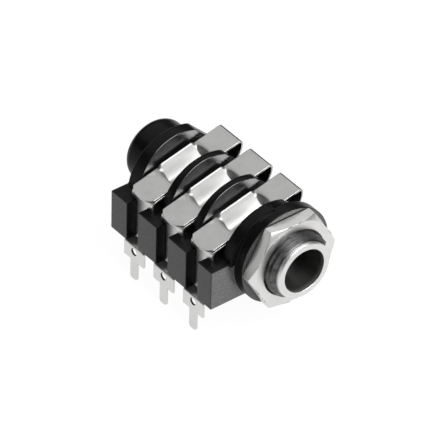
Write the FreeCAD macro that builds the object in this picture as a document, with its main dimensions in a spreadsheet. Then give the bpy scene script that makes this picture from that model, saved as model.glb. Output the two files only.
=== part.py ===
import FreeCAD, Part
import math
import os
import Sketcher
from FreeCAD import Placement, Rotation, Vector

# Stereo phone jack for a circuit board, with a switch contact under each spring.
# Frame: the plug enters along +Y, the nose points to -Y, Z is up. The origin is on
# the plug axis, in the plane of the flange face that meets the panel.

SIZES = [
    ("plug_radius", 3.175, "radius of a quarter inch plug"),
    ("plug_play", 0.075, "radial play between plug and bore"),
    ("contact_pitch", 6.35, "distance between neighbouring contacts"),
    ("first_contact", 5.8, "panel face to the middle of the sleeve contact"),
    ("flange_radius", 7.15, "round flange behind the panel"),
    ("flange_length", 1.8, "length of the flange"),
    ("nose_length", 3.35, "plastic nose in front of the flange"),
    ("thread_radius", 4.76, "crest radius of the thread on the nose"),
    ("body_left", 10.9, "plug axis to the outer face of the left ribs"),
    ("body_right", 7.2, "plug axis to the outer face of the right ribs"),
    ("body_front", 1.6, "panel face to the front of the side ribs"),
    ("body_bottom", 5.0, "plug axis down to the face that sits on the board"),
    ("deck_height", 1.15, "plug axis up to the deck under the springs"),
    ("wall_rear", 23.1, "panel face to the back of the rear wall"),
    ("rib_gap", 2.4, "slot between two side ribs"),
    ("slot_left", 1.85, "depth of the slots in the left ribs"),
    ("slot_right", 1.0, "depth of the slots in the right ribs"),
    ("fin_radius", 7.2, "radius of the fins between the springs"),
    ("fin_aside", 1.0, "centre of the fins left of the plug axis"),
    ("fin_drop", 0.1, "centre of the fins below the plug axis"),
    ("fin_behind", 3.375, "middle of a contact to the middle of the fin behind it"),
    ("fin_thickness", 1.05, "thickness of a fin"),
    ("fin_cut", 8.25, "x plus z along the slanted right side of the fins"),
    ("wall_thickness", 1.7, "thickness of the rear wall"),
    ("front_wall_rear", 3.15, "panel face to the back of the front wall"),
    ("boss_radius", 4.7, "closed boss behind the rear wall"),
    ("boss_length", 5.8, "length of that boss"),
    ("boss_round", 1.5, "rounding of its end"),
    ("bore_end", 27.2, "panel face to the closed end of the bore"),
    ("ferrule_wall", 0.55, "wall of the metal ferrule around the bore"),
    ("ferrule_rise", 0.4, "rise of its lip over the pressed shank"),
    ("ferrule_lip", 0.7, "length of the lip"),
    ("ferrule_seat_depth", 4.5, "length of the pressed shank"),
    ("ferrule_bevel", 0.3, "bevel at the mouth and at the lip"),
    ("nut_flats", 12.5, "width of the nut across its flats"),
    ("nut_length", 1.8, "length of the nut"),
    ("nut_play", 0.05, "radial play of the nut on the thread crests"),
    ("nut_gap", 0.1, "air between nut and flange"),
    ("nut_bevel", 0.55, "length of the cone that takes off the corners"),
    ("nut_mouth", 0.2, "countersink of the nut hole"),
    ("spring_width", 4.4, "width of the spring strip"),
    ("strip", 0.3, "thickness of all contact strips"),
    ("spring_end_x", 10.0, "plug axis to the free end of the spring"),
    ("spring_end_rise", 2.42, "height of the free end"),
    ("end_flat", 0.02, "half of the flat left at the free end"),
    ("fold_x", 5.5, "plug axis to the fold of the spring"),
    ("fold_rise", 6.1, "height of the fold"),
    ("fold_radius", 0.4, "bend radius of the fold"),
    ("leg_drop", 0.65, "straight part below the fold"),
    ("leg_radius", 2.6, "bend radius of the leg"),
    ("leg_straight", 0.35, "straight end of the leg"),
    ("leg_split", 0.08, "air where spring and terminal meet"),
    ("trough_left", 5.2, "left end of the pressed trough"),
    ("trough_right", 0.9, "right end of the pressed trough"),
    ("trough_rim", 0.6, "rise of the trough rims above the strip"),
    ("trough_corner", 0.8, "bevel at the trough ends"),
    ("tail_inset", 0.5, "outer face of the ribs in to the plane of the pins"),
    ("tail_width", 4.3, "width of the solder tag"),
    ("tail_bottom", 7.95, "plug axis down to the lower edge of the tag"),
    ("pin_bottom", 11.0, "plug axis down to the pin tips"),
    ("pin_width", 1.5, "width of a pin"),
    ("joggle_length", 0.7, "length of the bend that offsets the tag"),
    ("tag_hole_radius", 0.55, "hole in the solder tag"),
    ("tag_hole_drop", 6.45, "plug axis down to that hole"),
    ("neck_play", 0.05, "air beside the neck in its slot"),
    ("break_gap", 0.07, "air under the resting spring"),
    ("break_reach", 2.3, "length of the break plate"),
    ("bend", 0.25, "bend radius of the tails"),
    ("break_bend", 0.75, "bend radius between break plate and neck"),
    ("deck_gap", 0.12, "air between the terminals and the deck"),
]

doc = FreeCAD.newDocument("phone_jack")
sheet = doc.addObject("Spreadsheet::Sheet", "Sizes")
for row, (alias, value, note) in enumerate(SIZES, start=1):
    sheet.set(f"A{row}", note)
    sheet.set(f"B{row}", str(value))
    sheet.setAlias(f"B{row}", alias)
doc.recompute()


def size(alias):
    return float(getattr(sheet, alias))


def bind(owner, path, expression):
    owner.setExpression(path, expression)


def new_body(label):
    body = doc.addObject("PartDesign::Body", label)
    body.Label = label
    return body


def plane(body, role):
    return [item for item in body.Origin.OriginFeatures if item.Role == role][0]


def new_sketch(body, name, role, offset="0"):
    """Sketch on an origin plane of its body, moved along the plane's normal."""
    sketch = body.newObject("Sketcher::SketchObject", name)
    sketch.AttachmentSupport = [(plane(body, role), "")]
    sketch.MapMode = "FlatFace"
    bind(sketch, "AttachmentOffset.Base.z", offset)
    return sketch


def add_circle(sketch, radius, x="0 mm", y="0 mm"):
    """Circle whose radius and centre follow the sheet."""
    geo = sketch.addGeometry(Part.Circle(Vector(0.1, 0.1, 0), Vector(0, 0, 1), 1.0))
    for kind, expression in (("Radius", radius), ("DistanceX", x), ("DistanceY", y)):
        if kind == "Radius":
            constraint = Sketcher.Constraint(kind, geo, 1.0)
        else:
            constraint = Sketcher.Constraint(kind, -1, 1, geo, 3, 0.1)
        number = sketch.addConstraint(constraint)
        bind(sketch, f"Constraints[{number}]", expression)


def add_rectangle(sketch, left, right, low, high):
    """Rectangle whose four sides follow the sheet."""
    corners = [Vector(0, 0, 0), Vector(1, 0, 0), Vector(1, 1, 0), Vector(0, 1, 0)]
    first = len(sketch.Geometry)
    for start, end in zip(corners, corners[1:] + corners[:1]):
        sketch.addGeometry(Part.LineSegment(start, end))
    for side in range(4):
        after = (side + 1) % 4
        sketch.addConstraint(Sketcher.Constraint("Coincident", first + side, 2, first + after, 1))
        direction = "Horizontal" if side % 2 == 0 else "Vertical"
        sketch.addConstraint(Sketcher.Constraint(direction, first + side))
    limits = (("DistanceX", 0, left, 0.0), ("DistanceX", 2, right, 1.0),
              ("DistanceY", 0, low, 0.0), ("DistanceY", 2, high, 1.0))
    for kind, edge, expression, value in limits:
        constraint = Sketcher.Constraint(kind, -1, 1, first + edge, 1, value)
        number = sketch.addConstraint(constraint)
        bind(sketch, f"Constraints[{number}]", expression)


def add_outline(sketch, edges):
    """Closed outline of lines and arcs, worked out from the sheet's values."""
    sketch.addGeometry(edges, False)


def pad(body, sketch, name, length, both=False):
    feature = body.newObject("PartDesign::Pad", name)
    feature.Profile = sketch
    feature.Midplane = both
    bind(feature, "Length", length)
    return feature


def pocket(body, sketch, name, length=None):
    """Pocket along the sketch's back side, or through everything both ways."""
    feature = body.newObject("PartDesign::Pocket", name)
    feature.Profile = sketch
    if length is None:
        feature.Type = "ThroughAll"
        feature.Midplane = True
    else:
        bind(feature, "Length", length)
    return feature


def fillet(body, name, radius, chosen):
    """Rounding of the edges whose bounding box is chosen."""
    base = body.Tip
    edges = [f"Edge{number}" for number, edge in enumerate(base.Shape.Edges, start=1)
             if chosen(edge.BoundBox)]
    feature = body.newObject("PartDesign::Fillet", name)
    feature.Base = (base, edges)
    bind(feature, "Radius", radius)
    doc.recompute()
    return feature


def row_of(body, source, name, count, direction):
    """Copies of one feature, one contact pitch apart towards the rear."""
    pattern = body.newObject("PartDesign::LinearPattern", name)
    pattern.Originals = [source]
    pattern.Direction = direction
    pattern.Occurrences = count
    bind(pattern, "Length", f"Sizes.contact_pitch * {count - 1}")
    pattern.Reversed = True
    body.Tip = pattern
    return pattern


def line(start, end):
    return Part.LineSegment(Vector(start[0], start[1], 0), Vector(end[0], end[1], 0))


def arc_through(start, middle, end):
    points = [Vector(point[0], point[1], 0) for point in (start, middle, end)]
    return Part.Arc(*points)


def fin_outline():
    """Round at the top left, slanted at the right, sunk into the deck."""
    radius = size("fin_radius")
    centre = (-size("fin_aside"), -size("fin_drop"))
    cut = size("fin_cut")
    low = size("deck_height") - size("strip")
    half_chord = math.sqrt(radius ** 2 - (low - centre[1]) ** 2)
    # The slanted side x + z = cut meets the circle at its upper crossing.
    distance = (cut - centre[0] - centre[1]) / math.sqrt(2)
    share = math.sqrt(radius ** 2 - distance ** 2)
    crossing = (centre[0] + (distance - share) / math.sqrt(2),
                centre[1] + (distance + share) / math.sqrt(2))
    left = (centre[0] - half_chord, low)
    middle = along(centre, math.radians(135), radius)
    right = (cut - size("deck_height"), size("deck_height"))
    sunk = (right[0], low)
    return [arc_through(left, middle, crossing), line(crossing, right), line(right, sunk), line(sunk, left)]


def make_housing():
    body = new_body("housing")
    slab = new_sketch(body, "slab_outline", "XZ_Plane", "-Sizes.wall_rear")
    add_rectangle(slab, "-Sizes.body_left", "Sizes.body_right",
                  "-Sizes.body_bottom", "Sizes.deck_height")
    pad(body, slab, "slab", "Sizes.wall_rear - Sizes.body_front")

    flange = new_sketch(body, "flange_outline", "XZ_Plane", "-Sizes.flange_length")
    add_circle(flange, "Sizes.flange_radius")
    pad(body, flange, "flange", "Sizes.flange_length")

    nose = new_sketch(body, "nose_outline", "XZ_Plane", "0")
    add_circle(nose, "Sizes.thread_radius")
    pad(body, nose, "nose", "Sizes.nose_length")

    front = new_sketch(body, "front_wall_outline", "XZ_Plane", "-Sizes.front_wall_rear")
    add_outline(front, fin_outline())
    pad(body, front, "front_wall", "Sizes.front_wall_rear - Sizes.body_front")
    rear = new_sketch(body, "rear_wall_outline", "XZ_Plane", "-Sizes.wall_rear")
    add_outline(rear, fin_outline())
    pad(body, rear, "rear_wall", "Sizes.wall_thickness")

    boss = new_sketch(body, "boss_outline", "XZ_Plane", "-Sizes.wall_rear - Sizes.boss_length")
    add_circle(boss, "Sizes.boss_radius")
    pad(body, boss, "boss", "Sizes.boss_length")
    doc.recompute()

    boss_end = size("wall_rear") + size("boss_length")
    fillet(body, "boss_dome", "Sizes.boss_round", lambda box: abs(box.YMin - boss_end) < 1e-4)

    fin_back = "Sizes.first_contact + Sizes.fin_behind + Sizes.fin_thickness / 2"
    fin = new_sketch(body, "fin_outline", "XZ_Plane", f"-({fin_back})")
    add_outline(fin, fin_outline())
    first_fin = pad(body, fin, "fin", "Sizes.fin_thickness")
    doc.recompute()
    row_of(body, first_fin, "fins", 2, (fin, ["N_Axis"]))
    doc.recompute()

    slot = new_sketch(body, "slot_outline", "XZ_Plane", "-Sizes.first_contact + Sizes.rib_gap / 2")
    below = "-Sizes.body_bottom - Sizes.slot_left"
    above = "Sizes.deck_height + Sizes.slot_left"
    add_rectangle(slot, "-Sizes.body_left - Sizes.slot_left", "-Sizes.body_left + Sizes.slot_left",
                  below, above)
    add_rectangle(slot, "Sizes.body_right - Sizes.slot_right", "Sizes.body_right + Sizes.slot_right",
                  below, above)
    first_slots = pocket(body, slot, "rib_slots", "Sizes.rib_gap")
    doc.recompute()
    row_of(body, first_slots, "all_rib_slots", 3, (slot, ["N_Axis"]))
    doc.recompute()

    bore = new_sketch(body, "bore_outline", "XZ_Plane", "Sizes.nose_length")
    add_circle(bore, "Sizes.plug_radius + Sizes.plug_play")
    pocket(body, bore, "plug_bore", "Sizes.nose_length + Sizes.bore_end")
    seat = new_sketch(body, "seat_outline", "XZ_Plane", "Sizes.nose_length")
    add_circle(seat, "Sizes.plug_radius + Sizes.plug_play + Sizes.ferrule_wall")
    pocket(body, seat, "ferrule_seat", "Sizes.ferrule_seat_depth")
    doc.recompute()
    return body


def make_ferrule():
    body = new_body("nose_ferrule")
    inner = size("plug_radius") + size("plug_play")
    shank = inner + size("ferrule_wall")
    lip = shank + size("ferrule_rise")
    face = -size("nose_length")
    front = face - size("ferrule_lip")
    back = face + size("ferrule_seat_depth")
    bevel = size("ferrule_bevel")
    outline = [
        line((back, inner), (front + bevel, inner)),
        line((front + bevel, inner), (front, inner + bevel)),
        line((front, inner + bevel), (front, lip - bevel)),
        line((front, lip - bevel), (front + bevel, lip)),
        line((front + bevel, lip), (face, lip)),
        line((face, lip), (face, shank)),
        line((face, shank), (back, shank)),
        line((back, shank), (back, inner)),
    ]
    sketch = new_sketch(body, "ferrule_outline", "YZ_Plane")
    add_outline(sketch, outline)
    turned = body.newObject("PartDesign::Revolution", "turned_ferrule")
    turned.Profile = sketch
    turned.ReferenceAxis = (sketch, ["H_Axis"])
    turned.Angle = 360
    doc.recompute()
    return body


def make_nut():
    body = new_body("panel_nut")
    hexagon = new_sketch(body, "hexagon", "XZ_Plane", "Sizes.nut_gap")
    corner = size("nut_flats") / math.sqrt(3)
    points = [(corner * math.cos(math.radians(60 * turn)), corner * math.sin(math.radians(60 * turn)))
              for turn in range(6)]
    add_outline(hexagon, [line(start, end) for start, end in zip(points, points[1:] + points[:1])])
    pad(body, hexagon, "blank", "Sizes.nut_length")
    hole = new_sketch(body, "hole_outline", "XZ_Plane", "Sizes.nut_gap + Sizes.nut_length")
    add_circle(hole, "Sizes.thread_radius + Sizes.nut_play")
    pocket(body, hole, "thread_hole", "Sizes.nut_length")
    doc.recompute()

    front = -size("nut_gap") - size("nut_length")
    bevel = size("nut_bevel")
    run = bevel * math.tan(math.radians(60))
    bore = size("thread_radius") + size("nut_play")
    mouth = size("nut_mouth")
    tip = (front, corner - run)
    far = (front, corner + run)
    wide = (front + bevel, corner + run)
    deep = (front + bevel, corner)
    sketch = new_sketch(body, "front_bevel_outline", "YZ_Plane")
    add_outline(sketch, [line(tip, far), line(far, wide), line(wide, deep), line(deep, tip)])
    groove = body.newObject("PartDesign::Groove", "front_bevel")
    groove.Profile = sketch
    groove.ReferenceAxis = (sketch, ["H_Axis"])
    groove.Angle = 360
    doc.recompute()
    sketch = new_sketch(body, "mouth_outline", "YZ_Plane")
    rim = (front, bore + mouth)
    inside = (front + mouth, bore)
    centre = (front, bore - mouth)
    add_outline(sketch, [line(rim, inside), line(inside, centre), line(centre, rim)])
    groove = body.newObject("PartDesign::Groove", "mouth")
    groove.Profile = sketch
    groove.ReferenceAxis = (sketch, ["H_Axis"])
    groove.Angle = 360
    doc.recompute()
    return body


def strip_outline(points, radii, thickness):
    """Side view of a bent strip: its middle line goes through the points."""
    sides = []
    for side in (1, -1):
        edges = []
        start = offset_point(points[0], points[1], points[0], side * thickness / 2)
        for before, here, after, radius in zip(points, points[1:], points[2:], radii):
            into = unit(before, here)
            out = unit(here, after)
            turn = into[0] * out[1] - into[1] * out[0]
            angle = math.atan2(turn, into[0] * out[0] + into[1] * out[1])
            reach = radius * math.tan(abs(angle) / 2)
            hand = 1 if angle > 0 else -1
            begin = (here[0] - into[0] * reach, here[1] - into[1] * reach)
            centre = (begin[0] - into[1] * radius * hand, begin[1] + into[0] * radius * hand)
            own = radius - hand * side * thickness / 2
            arc = []
            for share in (0, 0.5, 1):
                swing = math.atan2(into[1], into[0]) + share * angle - hand * math.pi / 2
                arc.append((centre[0] + own * math.cos(swing), centre[1] + own * math.sin(swing)))
            edges.append(line(start, arc[0]))
            edges.append(arc_through(*arc))
            start = arc[2]
        end = offset_point(points[-2], points[-1], points[-1], side * thickness / 2)
        edges.append(line(start, end))
        sides.append((edges, end))
    first = offset_point(points[0], points[1], points[0], thickness / 2)
    other = offset_point(points[0], points[1], points[0], -thickness / 2)
    closing = [line(sides[0][1], sides[1][1]), line(other, first)]
    return sides[0][0] + sides[1][0] + closing


def unit(start, end):
    reach = math.dist(start, end)
    return ((end[0] - start[0]) / reach, (end[1] - start[1]) / reach)


def offset_point(start, end, at, distance):
    """Point to the left of the way from start to end, seen in the outline's plane."""
    way = unit(start, end)
    return (at[0] - way[1] * distance, at[1] + way[0] * distance)


def along(start, angle, reach):
    return (start[0] + reach * math.cos(angle), start[1] + reach * math.sin(angle))


def leg_points():
    """Middle line of the leg: the fold, the corner of its bend and its split end."""
    fold = (size("fold_x"), size("fold_rise"))
    radius = size("leg_radius")
    corner = along(fold, math.radians(-90), size("leg_drop") + radius * math.tan(math.radians(22.5)))
    reach = radius * math.tan(math.radians(22.5)) + size("leg_straight")
    split = along(corner, math.radians(-135), reach)
    return fold, corner, split


def spring_line():
    """Free end and slope of the middle line of a spring, which falls from the fold to the left."""
    free_end = (-size("spring_end_x"), size("spring_end_rise"))
    slope = math.atan2(size("fold_rise") - free_end[1], size("fold_x") - free_end[0])
    return free_end, slope


def make_spring(label, station):
    """Spring strip in its own frame: X runs along the strip, the fold is at the origin."""
    body = new_body(label)
    fold, corner, split = leg_points()
    free_end, slope = spring_line()
    reach = math.dist(fold, free_end)

    def local(point):
        dx = point[0] - fold[0]
        dz = point[1] - fold[1]
        return (dx * math.cos(slope) + dz * math.sin(slope), dz * math.cos(slope) - dx * math.sin(slope))

    thickness = size("strip")
    path = [(-reach, 0.0), (0.0, 0.0), local(corner), local(split)]
    side = new_sketch(body, label + "_side", "XZ_Plane", "0")
    add_outline(side, strip_outline(path, [size("fold_radius"), size("leg_radius")], thickness))
    pad(body, side, label + "_strip", "Sizes.spring_width", both=True)
    doc.recompute()

    fillet(body, label + "_round_end", "Sizes.spring_width / 2 - Sizes.end_flat",
           lambda box: box.XMax < -reach + 1e-3 and box.YLength < 1e-3)

    left = -(size("fold_x") + size("trough_left")) / math.cos(slope)
    right = -(size("fold_x") - size("trough_right")) / math.cos(slope)
    outer = size("spring_width") / 2
    inner = outer - thickness
    bevel = size("trough_corner")
    rim = "Sizes.trough_rim"

    def tray(start, end, top, depth, bevel):
        """Outline of a tray in side view, open towards the axis of the trough."""
        return [
            line((start, top), (start, -depth + bevel)),
            line((start, -depth + bevel), (start + bevel, -depth)),
            line((start + bevel, -depth), (end - bevel, -depth)),
            line((end - bevel, -depth), (end, -depth + bevel)),
            line((end, -depth + bevel), (end, top)),
        ]

    hollow = new_sketch(body, label + "_hollow_outline", "XZ_Plane", "0")
    bind(hollow, "AttachmentOffset.Base.y", rim)
    inner_bevel = bevel - thickness * math.tan(math.radians(22.5))
    wall = tray(left + thickness, right - thickness, 0.0, inner, inner_bevel)
    add_outline(hollow, wall + [line((right - thickness, 0.0), (left + thickness, 0.0))])
    groove = body.newObject("PartDesign::Groove", label + "_hollow")
    groove.Profile = hollow
    groove.ReferenceAxis = (hollow, ["H_Axis"])
    groove.Angle = 360
    doc.recompute()

    shell = new_sketch(body, label + "_trough_outline", "XZ_Plane", "0")
    bind(shell, "AttachmentOffset.Base.y", rim)
    top = -size("trough_rim") + thickness / 2
    outside = tray(left, right, top, outer, bevel)
    inside = tray(left + thickness, right - thickness, top, inner, inner_bevel)
    caps = [line((left, top), (left + thickness, top)), line((right - thickness, top), (right, top))]
    add_outline(shell, outside + inside + caps)
    trough = body.newObject("PartDesign::Revolution", label + "_trough")
    trough.Profile = shell
    trough.ReferenceAxis = (shell, ["H_Axis"])
    trough.Midplane = True
    trough.Angle = 180
    doc.recompute()

    trim = new_sketch(body, label + "_trim_outline", "XZ_Plane", "0")
    for start, end in ((left - bevel, left + bevel), (right - bevel, right + bevel)):
        low = thickness / 2
        high = outer
        corners = [(start, low), (end, low), (end, high), (start, high)]
        add_outline(trim, [line(one, two) for one, two in zip(corners, corners[1:] + corners[:1])])
    pocket(body, trim, label + "_trim")
    doc.recompute()

    body.Placement = Placement(Vector(fold[0], station, fold[1]),
                               Rotation(Vector(0, 1, 0), -math.degrees(slope)))
    return body


def tail_cuts(body, label, station):
    """Neck in the rib slot, tag below the body with its hole, and the pin."""
    cuts = new_sketch(body, label + "_cuts", "YZ_Plane")
    wide = "Sizes.spring_width"
    neck = "(Sizes.rib_gap / 2 - Sizes.neck_play)"
    tag = "Sizes.tail_width / 2"
    pin = "Sizes.pin_width / 2"
    shoulder = "Sizes.deck_height"
    seat = "-Sizes.body_bottom - Sizes.neck_play"
    for hand in ("", "-"):
        for half, low, high in ((neck, seat, shoulder), (tag, "-Sizes.tail_bottom", seat),
                                (pin, "-Sizes.pin_bottom - Sizes.strip", "-Sizes.tail_bottom")):
            limits = (half, wide) if hand == "" else (f"-{wide}", f"-{half}")
            add_rectangle(cuts, limits[0], limits[1], low, high)
    pocket(body, cuts, label + "_stamped")
    hole = new_sketch(body, label + "_hole", "YZ_Plane")
    add_circle(hole, "Sizes.tag_hole_radius", "0 mm", "-Sizes.tag_hole_drop")
    pocket(body, hole, label + "_tag_hole")
    doc.recompute()
    body.Placement = Placement(Vector(0, station, 0), Rotation())


def tail_points(hand, rib_face, slot_depth):
    """Middle line from the pin tip up to the neck, which lies on the bottom of its slot."""
    tail_x = rib_face - size("tail_inset")
    neck_x = rib_face - slot_depth + size("strip") / 2
    bottom = -size("body_bottom") - size("neck_play")
    return [
        (hand * tail_x, -size("pin_bottom")),
        (hand * tail_x, bottom - size("joggle_length")),
        (hand * neck_x, bottom),
    ], neck_x


def make_break_contact(label, station):
    """Fixed contact on the left side, with a plate along the underside of the spring."""
    body = new_body(label)
    thickness = size("strip")
    points, neck_x = tail_points(-1, size("body_left"), size("slot_left"))
    free_end, slope = spring_line()
    below = offset_point((0, 0), along((0, 0), slope, 1), free_end, -thickness - size("break_gap"))
    corner = (-neck_x, below[1] + (-neck_x - below[0]) * math.tan(slope))
    points += [corner, along(corner, slope, size("break_reach"))]
    side = new_sketch(body, label + "_side", "XZ_Plane", "0")
    radii = [size("bend"), size("bend"), size("break_bend")]
    add_outline(side, strip_outline(points, radii, thickness))
    pad(body, side, label + "_strip", "Sizes.spring_width", both=True)
    tail_cuts(body, label, station)
    return body


def make_terminal(label, station):
    """Fixed foot of the spring on the right side: over the deck and down to the board."""
    body = new_body(label)
    thickness = size("strip")
    points, neck_x = tail_points(1, size("body_right"), size("slot_right"))
    deck = size("deck_height") + size("deck_gap") + thickness / 2
    split = leg_points()[2]
    start = along(split, math.radians(-135), size("leg_split"))
    curl = (start[1] - deck) / (1 + math.sqrt(0.5))
    corner = along(start, math.radians(-135), curl * math.tan(math.radians(67.5)))
    points += [(neck_x, deck), (corner[0], deck), start]
    side = new_sketch(body, label + "_side", "XZ_Plane", "0")
    radii = [size("bend"), size("bend"), size("bend"), curl]
    add_outline(side, strip_outline(points, radii, thickness))
    pad(body, side, label + "_strip", "Sizes.spring_width", both=True)
    tail_cuts(body, label, station)
    return body


parts = [make_housing(), make_ferrule(), make_nut()]
for step, pole in enumerate(("sleeve", "ring", "tip")):
    station = size("first_contact") + step * size("contact_pitch")
    parts.append(make_spring(pole + "_spring", station))
    parts.append(make_terminal(pole + "_terminal", station))
    parts.append(make_break_contact(pole + "_break_contact", station))
doc.recompute()

failed = [item.Label for item in doc.Objects if "Invalid" in item.State or "Error" in item.State]
if failed:
    raise RuntimeError("failed objects: " + ", ".join(failed))
for body in parts:
    if body.Shape.isNull() or not body.Shape.isValid() or len(body.Shape.Solids) != 1:
        raise RuntimeError("bad shape: " + body.Label)

os.makedirs("parts", exist_ok=True)
for body in parts:
    body.Shape.exportStep(f"parts/{body.Label}.step")
    box = body.Shape.BoundBox
    print(body.Label, round(body.Shape.Volume, 2), "mm3, box",
          [round(value, 2) for value in (box.XMin, box.XMax, box.YMin, box.YMax, box.ZMin, box.ZMax)])
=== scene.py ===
import math

import bmesh
import bpy
from mathutils import Matrix, Vector


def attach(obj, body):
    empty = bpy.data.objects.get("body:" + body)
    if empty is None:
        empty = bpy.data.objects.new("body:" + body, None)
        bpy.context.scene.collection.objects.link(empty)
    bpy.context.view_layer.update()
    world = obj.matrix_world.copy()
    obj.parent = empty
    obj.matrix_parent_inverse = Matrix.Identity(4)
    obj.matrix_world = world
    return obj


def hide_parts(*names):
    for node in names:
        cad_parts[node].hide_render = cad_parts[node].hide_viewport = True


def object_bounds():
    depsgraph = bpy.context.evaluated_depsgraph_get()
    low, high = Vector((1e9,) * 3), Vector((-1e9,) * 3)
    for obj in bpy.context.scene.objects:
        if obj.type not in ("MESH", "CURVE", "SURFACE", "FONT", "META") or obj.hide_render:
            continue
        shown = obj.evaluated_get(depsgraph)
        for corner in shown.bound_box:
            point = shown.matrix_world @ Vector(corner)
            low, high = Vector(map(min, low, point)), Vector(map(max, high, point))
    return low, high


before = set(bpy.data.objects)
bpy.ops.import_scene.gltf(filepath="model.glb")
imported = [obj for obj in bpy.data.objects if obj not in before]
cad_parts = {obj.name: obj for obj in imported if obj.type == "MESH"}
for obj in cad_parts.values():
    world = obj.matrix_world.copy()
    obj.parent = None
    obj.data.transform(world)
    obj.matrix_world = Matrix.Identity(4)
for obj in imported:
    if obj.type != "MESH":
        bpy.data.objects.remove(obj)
cad_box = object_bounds()

MM = 0.001
POLES = ("sleeve", "ring", "tip")
JACK = "jack_body"

# Sizes in millimetres, as in the part's source. The panel plane is y = 0, the plug axis
# is x = z = 0 and the mouth looks to -Y.
PITCH = 6.35
FIRST_CONTACT = 5.8
BORE = 3.25
BORE_END = 27.2
FLANGE_RADIUS = 7.15
FLANGE_LENGTH = 1.8
NOSE_LENGTH = 3.35
THREAD_RADIUS = 4.76
THREAD_DEPTH = 0.42
BODY_LEFT = 10.9
BODY_RIGHT = 7.2
BODY_FRONT = 1.6
BODY_BOTTOM = 5.0
DECK = 1.15
WALL_REAR = 23.1
WALL_THICKNESS = 1.7
FRONT_WALL_REAR = 3.15
RIB_GAP = 2.4
SLOT_LEFT = 1.85
SLOT_RIGHT = 1.0
FIN_RADIUS = 7.2
FIN_CENTRE = (-1.0, -0.1)
FIN_CUT = 8.25
FIN_THICKNESS = 1.05
FIN_BEHIND = 3.375
BOSS_RADIUS = 4.7
BOSS_LENGTH = 5.8
BOSS_ROUND = 1.5
FERRULE_RADIUS = 4.2
FERRULE_SEAT = 3.8
FERRULE_SEAT_DEPTH = 4.5
FERRULE_LIP = 0.7
NUT_FLATS = 12.5
NUT_GAP = 0.1
NUT_LENGTH = 1.8
NUT_BEVEL = 0.55
STRIP = 0.3
SPRING_WIDTH = 4.4
SPRING_END = (-10.0, 2.42)
FOLD = (5.5, 6.1)
FOLD_RADIUS = 0.4
LEG_DROP = 0.65
LEG_RADIUS = 2.6
LEG_STRAIGHT = 0.35
LEG_SPLIT = 0.08
TROUGH_LEFT = -5.2
TROUGH_RIGHT = 0.9
TROUGH_RIM = 0.6
TAIL_INSET = 0.5
TAIL_WIDTH = 4.3
TAIL_BOTTOM = 7.95
PIN_BOTTOM = 11.0
PIN_WIDTH = 1.5
JOGGLE = 0.7
HOLE_RADIUS = 0.55
HOLE_DROP = 6.45
NECK_PLAY = 0.05
DECK_GAP = 0.12
BREAK_GAP = 0.07
BREAK_REACH = 2.3
BREAK_BEND = 0.75
BEND = 0.25

# Which way each side looks along X, its face and the depth of its slots
LEFT = (-1, BODY_LEFT, SLOT_LEFT)
RIGHT = (1, BODY_RIGHT, SLOT_RIGHT)

# Directions: the slant of the fins' cut and of the hidden legs, and the lean of the nut's
# bevel, in degrees; the slope of a spring, in radians; and the part of a slanted length
# that lies along one axis
SLANT = 45
NUT_BEVEL_ANGLE = 60
SPRING_SLOPE = math.atan2(FOLD[1] - SPRING_END[1], FOLD[0] - SPRING_END[0])
DIAGONAL = math.sqrt(0.5)

# Forms that only the scene has, in millimetres: round edges and fine relief. The draft is
# a slope, the foot of the thread's ridge is a share of the pitch and its crest a share of
# the foot, and the trough's section is blunt over a share of its half width.
BORE_POINT = 0.6
FIN_DRAFT = 0.10
END_RADIUS = 2.95
THREAD_PITCH = 0.79
THREAD_CHAMFER = (0.25, 0.2)
THREAD_SUNK = 0.02
RIDGE_FOOT = 0.46
RIDGE_CREST = 0.12
LIP_ROUND = 0.22
MOUTH_ROUND = 0.08
LIP_CHAMFER = 0.08
NUT_PLAY = 0.05
NUT_BACK_CONE = 0.25
NUT_SINK = 0.22
TROUGH_BULGE = 0.45
TROUGH_RAMPS = (0.7, 0.6)
TROUGH_BLUNT = 0.6
TROUGH_NARROWING = 0.13
PIN_ROUND = 0.5
TAG_ROUND = 0.3
PLATE_FOOT_ROUND = 0.5
PLATE_TIP_ROUND = 0.6
HOUSING_EDGE = 0.14
FERRULE_EDGE = 0.02
NUT_EDGE = 0.06
SPRING_EDGE = 0.05
STAMPED_EDGE = 0.045

# How far a tool reaches past the face that it cuts, and a joined solid into its neighbour
CUT_PAST = 1.0
NUT_TOOL_BACK = 0.5
NUT_TOOL_FRONT = 0.2
NUT_TOOL_FLARE = 0.3
DRILL_FRONT = 0.1
WALL_SUNK = 0.3
BOSS_SUNK = 0.5
NOSE_SUNK = 0.4

# How finely curves are divided, and lengths in millimetres along the middle lines. Rows
# at END_ROWS take the place of a spring's own points up to END_LENGTH from its free end.
LARGE_ROUND = 144
ROUND = 128
SMALL_ROUND = 96
HOLE_ROUND = 32
FIN_STEPS = 40
DOME_STEPS = 10
LIP_STEPS = 6
MOUTH_STEPS = 3
CORNER_STEPS = 5
THREAD_STEPS = 72
SPRING_COLUMNS = 30
SPRING_STEP = 0.12
STAMPED_STEP = 0.6
END_ROWS = (0.0, 0.01, 0.03, 0.07, 0.13, 0.22, 0.33, 0.46, 0.6, 0.75, 0.88, 0.985)
END_LENGTH = 1.1
BEND_DEGREES = 8
BEND_LEAST_STEPS = 6

# Lengths in millimetres below which places count as the same
SAME_PLACE = 1e-9
SAME_STOP = 1e-4
SAME_POINT = 1e-3
SAME_LEVEL = 1e-2
STOP_DIGITS = 5

# How deep a face's finish, painted sheen and painted shade reach in behind it, and where the
# trough's dull finish and the painted shade inside the mouth begin and end, all in millimetres
FACE_SKIN = 0.05
THIN_SKIN = 0.03
BORE_SKIN = 0.05
HOLE_SKIN = 0.03
TROUGH_DULL = (3.5, 3.8)
MOUTH_SHADE_FRONT = 0.35
MOUTH_SHADE_BEHIND = 0.15
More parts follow.
